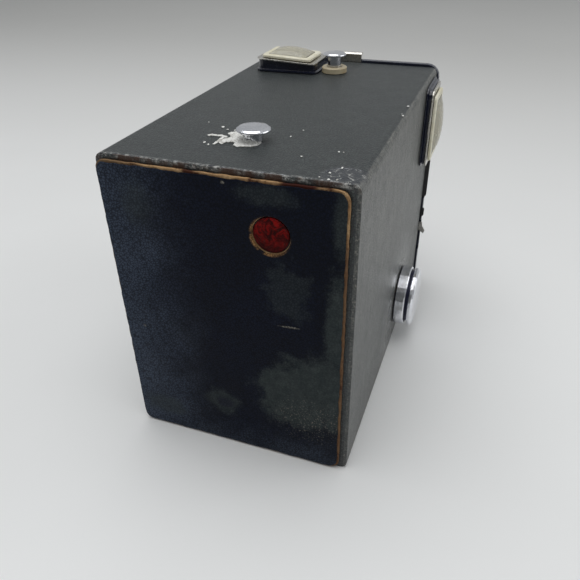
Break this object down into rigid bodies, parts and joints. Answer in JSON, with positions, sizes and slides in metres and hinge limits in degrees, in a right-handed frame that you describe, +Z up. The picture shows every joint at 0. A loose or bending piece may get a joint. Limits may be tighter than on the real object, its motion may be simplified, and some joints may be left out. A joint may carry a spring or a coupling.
{
  "type": "box camera",
  "caption": "Roll-film box camera: leatherette case, red window, two finders, strap studs, winding knob, catch, and a front section with film carrier that slides out.",
  "frame": {"origin": "centre of the case's flat bottom, on the surface it stands on", "axes": "+Z up, +Y from the film towards the lens, +X to the right seen from behind the camera"},
  "size_m": [0.0906, 0.1429, 0.1169],
  "materials": {
    "leatherette": "dark blue-black grained leatherette over board, scuffed and worn",
    "black_enamel": "gloss black enamel on pressed steel",
    "blackened_steel": "matt black japanned steel",
    "chrome": "bright plate, slightly dulled",
    "nickel": "dull nickel plate",
    "brass": "plain turned brass",
    "cream_enamel": "aged cream lacquer",
    "red_celluloid": "dark red translucent celluloid",
    "glass": "clear, slightly yellowed",
    "mirror_glass": "silvered glass",
    "tinned_steel": "dull tinplate",
    "black_wood": "black-stained wood",
    "black_card": "matt black card",
    "spring_steel": "hard drawn wire"
  },
  "bodies": {
    "case": {"case_shell": "leatherette", "rear_panel": "leatherette", "red_window": "red_celluloid", "window_ring": "blackened_steel", "rear_stud": "chrome", "rear_stud_washer": "tinned_steel", "front_stud": "chrome", "front_stud_collar": "cream_enamel", "front_stud_washer": "tinned_steel", "top_finder_hood": "black_enamel", "top_finder_lip": "nickel", "top_finder_frame": "cream_enamel", "top_finder_glass": "glass", "side_finder_hood": "black_enamel", "side_finder_lip": "nickel", "side_finder_frame": "cream_enamel", "side_finder_glass": "glass", "knob_plate": "nickel"},
    "winding_sleeve": {"winding_bush": "brass"},
    "winding_key": {"winding_knob": "chrome", "winding_shaft": "nickel"},
    "front_section": {"front_shell": "black_enamel", "front_plate": "black_enamel", "lens_bezel": "chrome", "lens_window": "glass", "finder_lens_top": "glass", "finder_lens_side": "glass", "latch_pin": "blackened_steel", "lever_pivot": "brass", "lever_spring": "spring_steel", "shutter_board": "tinned_steel", "shutter_pivot": "brass", "lens_board": "black_card", "lens_cell": "brass", "lens_element": "glass", "finder_box_top": "tinned_steel", "finder_box_side": "tinned_steel", "finder_mirror_top": "mirror_glass", "finder_mirror_side": "mirror_glass", "light_cone": "blackened_steel", "film_gate": "blackened_steel", "carrier_side_left": "black_wood", "carrier_side_right": "black_wood", "supply_pin_left": "brass", "supply_pin_right": "brass", "upper_roller_pin": "spring_steel", "lower_roller_pin": "spring_steel", "takeup_pivot": "brass"},
    "latch": {"front_latch": "nickel"},
    "lever": {"release_lever": "nickel"},
    "shutter": {"shutter_disc": "blackened_steel"},
    "time_pull": {"time_slide": "blackened_steel"},
    "closeup": {"closeup_slide": "blackened_steel", "closeup_lens": "glass"},
    "spool": {"takeup_spool": "blackened_steel"},
    "upper_film_roller": {"upper_roller": "nickel"},
    "lower_film_roller": {"lower_roller": "nickel"}
  },
  "joints": [
    {"name": "front_slide", "type": "slide", "parent": "case", "child": "front_section", "axis": [0, 1, 0], "range_m": [0, 0.128]},
    {"name": "latch_tip", "type": "hinge", "parent": "front_section", "child": "latch", "pos_m": [0, 0.0657, 0.1039], "axis": [1, 0, 0], "range_deg": [0, 10], "stiffness_Nm_per_rad": 0.2, "springref_deg": -2.86},
    {"name": "knob_turn", "type": "hinge", "parent": "case", "child": "winding_sleeve", "pos_m": [0.0406, 0.0175, 0.0205], "axis": [1, 0, 0], "continuous": true},
    {"name": "knob_pull", "type": "slide", "parent": "winding_sleeve", "child": "winding_key", "axis": [1, 0, 0], "range_m": [0, 0.008]},
    {"name": "takeup_turn", "type": "hinge", "parent": "front_section", "child": "spool", "pos_m": [0, 0.0175, 0.0205], "axis": [1, 0, 0], "continuous": true},
    {"name": "release_press", "type": "hinge", "parent": "front_section", "child": "lever", "pos_m": [0.022, 0.0665, 0.03], "axis": [0, 1, 0], "range_deg": [0, 18], "stiffness_Nm_per_rad": 0.05, "springref_deg": -8.59},
    {"name": "shutter_turn", "type": "hinge", "parent": "front_section", "child": "shutter", "pos_m": [-0.011, 0.0652, 0.0465], "axis": [0, 1, 0], "range_deg": [0, 91]},
    {"name": "time_pull_out", "type": "slide", "parent": "front_section", "child": "time_pull", "axis": [1, 0, 0], "range_m": [0, 0.004]},
    {"name": "closeup_pull_out", "type": "slide", "parent": "front_section", "child": "closeup", "axis": [1, 0, 0], "range_m": [0, 0.016]},
    {"name": "upper_roller_turn", "type": "hinge", "parent": "front_section", "child": "upper_film_roller", "pos_m": [0, -0.057, 0.1007], "axis": [1, 0, 0], "continuous": true},
    {"name": "lower_roller_turn", "type": "hinge", "parent": "front_section", "child": "lower_film_roller", "pos_m": [0, -0.057, 0.0083], "axis": [1, 0, 0], "continuous": true}
  ],
  "couplings": [
    {"joint": "takeup_turn", "follows": "knob_turn", "ratio": 1},
    {"joint": "shutter_turn", "follows": "release_press", "ratio": 5}
  ]
}
